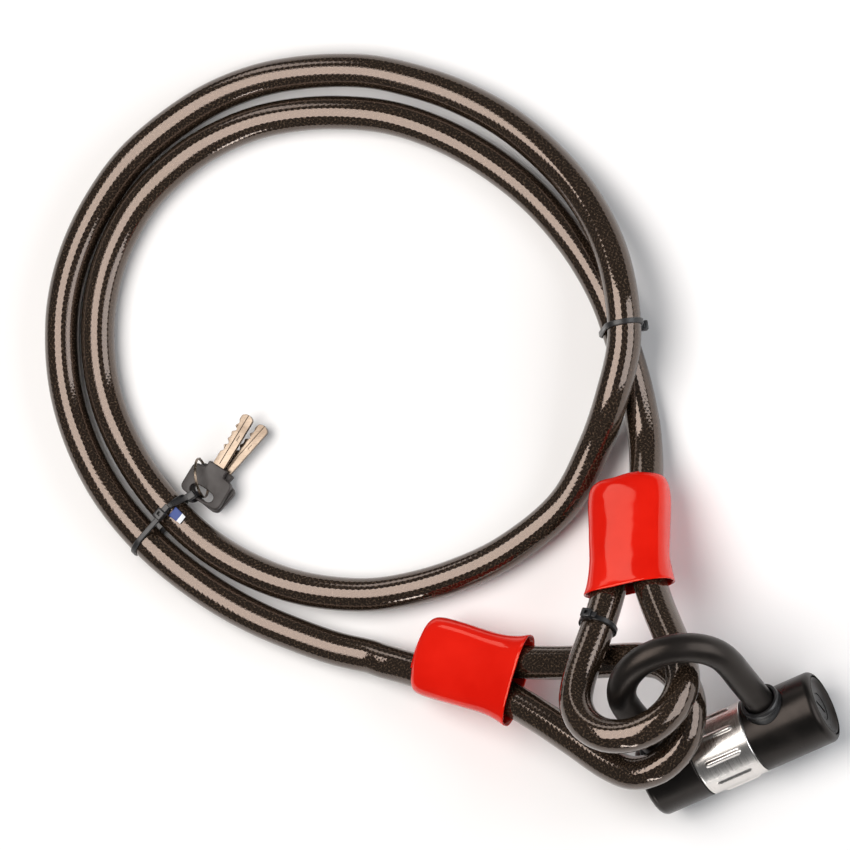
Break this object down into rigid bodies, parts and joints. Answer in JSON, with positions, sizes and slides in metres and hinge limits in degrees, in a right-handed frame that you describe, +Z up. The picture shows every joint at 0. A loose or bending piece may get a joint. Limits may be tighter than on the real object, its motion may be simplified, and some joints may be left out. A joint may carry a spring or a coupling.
{
  "type": "cable lock",
  "caption": "Heavy coiled loop-end security cable with red boots, a barrel padlock through both eyes, and keys tied to the coil.",
  "frame": {"origin": "middle of the object's footprint, on the surface the coil lies on", "axes": "+X to the right along the longest extent, +Y away from the padlock side, +Z up from the surface"},
  "size_m": [0.3686, 0.3416, 0.0885],
  "materials": {
    "smoked_sleeve": "smoked translucent gloss",
    "wire_rope": "stranded, braided look",
    "red_vinyl": "gloss red",
    "ferrule_metal": "pressed, satin",
    "black_case": "satin black",
    "band_steel": "brushed",
    "shackle_vinyl": "soft black coat",
    "hard_steel": "ground",
    "lock_brass": "turned",
    "body_zinc": "cast",
    "black_nylon": "moulded nylon",
    "key_nickel": "nickel plated",
    "tag_paper": "paper"
  },
  "bodies": {
    "cable_and_lock": {"cable_sleeve": "smoked_sleeve", "cable_wire_rope": "wire_rope", "eye_1_sleeve": "smoked_sleeve", "eye_1_wire_rope": "wire_rope", "ferrule_1": "ferrule_metal", "boot_1": "red_vinyl", "eye_2_sleeve": "smoked_sleeve", "eye_2_wire_rope": "wire_rope", "ferrule_2": "ferrule_metal", "boot_2": "red_vinyl", "lock_body": "body_zinc", "right_end_cover": "black_case", "left_end_cover": "black_case", "steel_band": "band_steel", "right_collar": "black_nylon", "left_collar": "black_nylon", "slide_spring": "hard_steel", "cylinder_housing": "lock_brass", "crossing_tie": "black_nylon", "coil_tie": "black_nylon", "eye_tie": "black_nylon", "key_ring": "key_nickel", "key_strap": "black_nylon", "paper_tag": "tag_paper"},
    "shackle": {"shackle_bar": "hard_steel", "shackle_coating": "shackle_vinyl"},
    "plug": {"lock_plug": "lock_brass", "plug_cam": "body_zinc"},
    "slide": {"locking_slide": "hard_steel"},
    "key_1": {"key_1_bow": "black_nylon", "key_1_blade": "key_nickel"},
    "key_2": {"key_2_bow": "black_nylon", "key_2_blade": "key_nickel"}
  },
  "joints": [
    {"name": "shackle_lift", "type": "slide", "parent": "cable_and_lock", "child": "shackle", "axis": [-0.1816, 0.4658, 0.866], "range_m": [0, 0.034]},
    {"name": "plug_turn", "type": "hinge", "parent": "cable_and_lock", "child": "plug", "pos_m": [0.1391, -0.1407, 0.017], "axis": [0.9317, 0.3633, 0], "range_deg": [0, 90]},
    {"name": "slide_throw", "type": "slide", "parent": "cable_and_lock", "child": "slide", "axis": [-0.9317, -0.3633, 0], "range_m": [0, 0.0024]},
    {"name": "key_1_swing", "type": "hinge", "parent": "cable_and_lock", "child": "key_1", "pos_m": [-0.11037, -0.02211, 0.01015], "axis": [0, 0, 1], "range_deg": [-20, 6]},
    {"name": "key_2_swing", "type": "hinge", "parent": "cable_and_lock", "child": "key_2", "pos_m": [-0.1102, -0.02212, 0.00675], "axis": [0, 0, 1], "range_deg": [-20, 8]}
  ],
  "couplings": [
    {"joint": "slide_throw", "follows": "plug_turn", "m_per_rad": 0.001527}
  ]
}
